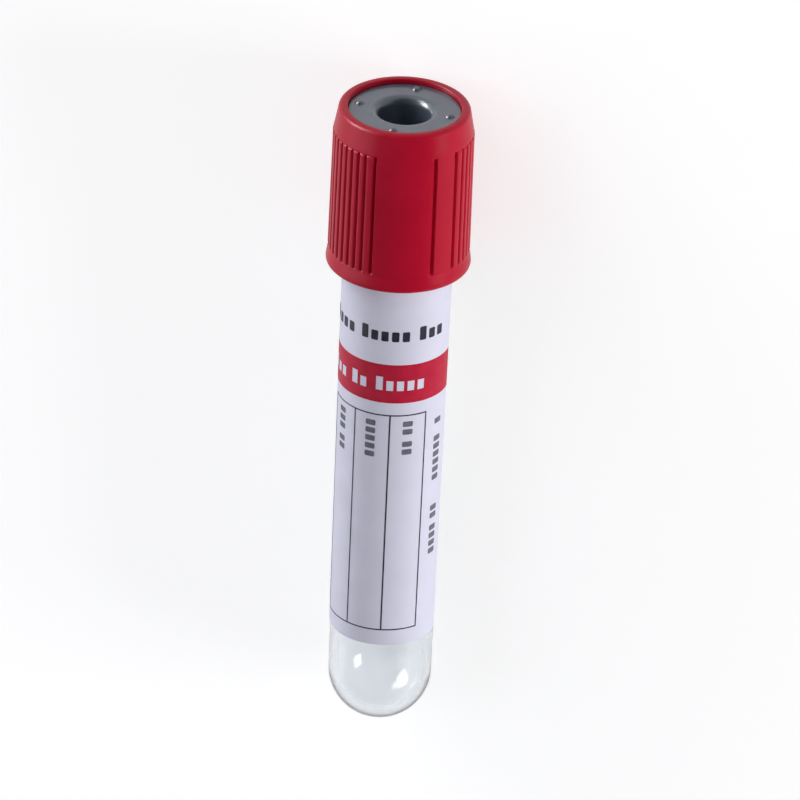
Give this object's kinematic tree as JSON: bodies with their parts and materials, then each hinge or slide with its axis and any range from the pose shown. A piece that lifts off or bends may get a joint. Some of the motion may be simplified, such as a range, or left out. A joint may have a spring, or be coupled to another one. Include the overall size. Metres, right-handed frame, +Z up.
{
  "type": "blood collection tube",
  "caption": "Clear round-ended sample tube with a rubber stopper in a ribbed red cap and a ruled paper label, lying on its side.",
  "frame": {"origin": "on the surface that the tube lies on, under the middle of its bounding box", "axes": "+X along the tube's length towards the cap, +Z up through the middle of the label's side, +Y to the label's left as it is read"},
  "size_m": [0.0816, 0.017, 0.0174],
  "materials": {
    "clear_tube": "clear, glossy PET",
    "grey_rubber": "matt butyl rubber",
    "red_plastic": "satin moulded polyethylene",
    "white_paper": "smooth coated label paper",
    "red_ink": "printed ink on label paper",
    "dark_ink": "printed ink on label paper"
  },
  "bodies": {
    "tube_body": {"tube": "clear_tube", "label": "white_paper", "label_red_print": "red_ink", "label_dark_print": "dark_ink"},
    "closure": {"cap": "red_plastic", "stopper": "grey_rubber"}
  },
  "joints": [
    {"name": "closure_pull", "type": "slide", "parent": "tube_body", "child": "closure", "axis": [0.9991, 0, 0.0428], "range_m": [0, 0.03]}
  ]
}
